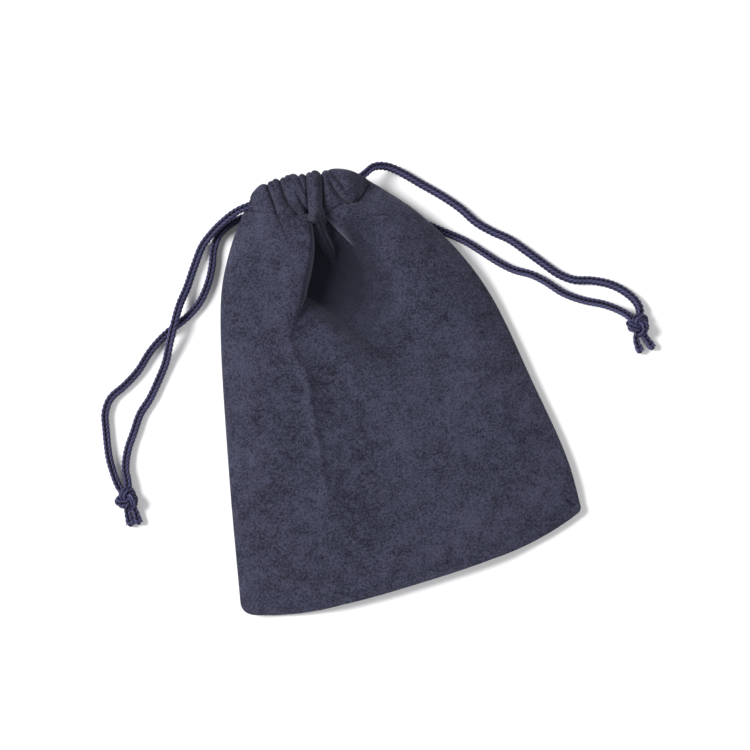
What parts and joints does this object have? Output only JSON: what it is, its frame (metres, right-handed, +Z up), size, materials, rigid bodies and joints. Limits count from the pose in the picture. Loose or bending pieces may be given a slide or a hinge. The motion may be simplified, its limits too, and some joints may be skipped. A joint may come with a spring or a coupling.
{
  "type": "drawstring gift pouch",
  "caption": "Small microsuede drawstring pouch lying on its back, mouth gathered on two knitted cords that leave at opposite sides and end in knots.",
  "frame": {"origin": "on the surface that the pouch lies on, under the middle of the pouch without its free cords", "axes": "+Y from the bottom seam to the mouth, +X across the pouch to the right seen from above, +Z up from the surface, through the back panel to the front panel"},
  "size_m": [0.1577, 0.12, 0.0154],
  "materials": {
    "suede": "brushed microsuede with a short, mottled nap",
    "cord": "knitted polyester cord with a soft sheen",
    "thread": "matt sewing thread"
  },
  "bodies": {
    "pouch_back": {"back_panel": "suede", "back_casing": "suede", "back_casing_stitching": "thread", "left_seam_allowance": "suede", "right_seam_allowance": "suede", "bottom_seam_allowance": "suede", "left_seam_stitching": "thread", "right_seam_stitching": "thread", "bottom_seam_stitching": "thread", "left_cord_return": "cord", "right_cord_return": "cord"},
    "pouch_front": {"front_panel": "suede", "front_casing": "suede", "front_casing_stitching": "thread"},
    "left_pull": {"left_cord_front_strand": "cord", "left_cord_back_strand": "cord", "left_cord_knot": "cord", "left_cord_front_tail": "cord", "left_cord_back_tail": "cord"},
    "right_pull": {"right_cord_front_strand": "cord", "right_cord_back_strand": "cord", "right_cord_knot": "cord", "right_cord_front_tail": "cord", "right_cord_back_tail": "cord"}
  },
  "joints": [
    {"name": "mouth_open", "type": "hinge", "parent": "pouch_back", "child": "pouch_front", "pos_m": [0, -0.06, 0.0019], "axis": [1, 0, 0], "range_deg": [0, 8], "deforming": ["left_cord_front_strand", "right_cord_front_strand"]},
    {"name": "left_pull", "type": "slide", "parent": "pouch_back", "child": "left_pull", "axis": [-1, 0, 0], "range_m": [0, 0.006], "deforming": ["left_cord_front_strand"]},
    {"name": "right_pull", "type": "slide", "parent": "pouch_back", "child": "right_pull", "axis": [1, 0, 0], "range_m": [0, 0.006], "deforming": ["right_cord_front_strand"]}
  ]
}
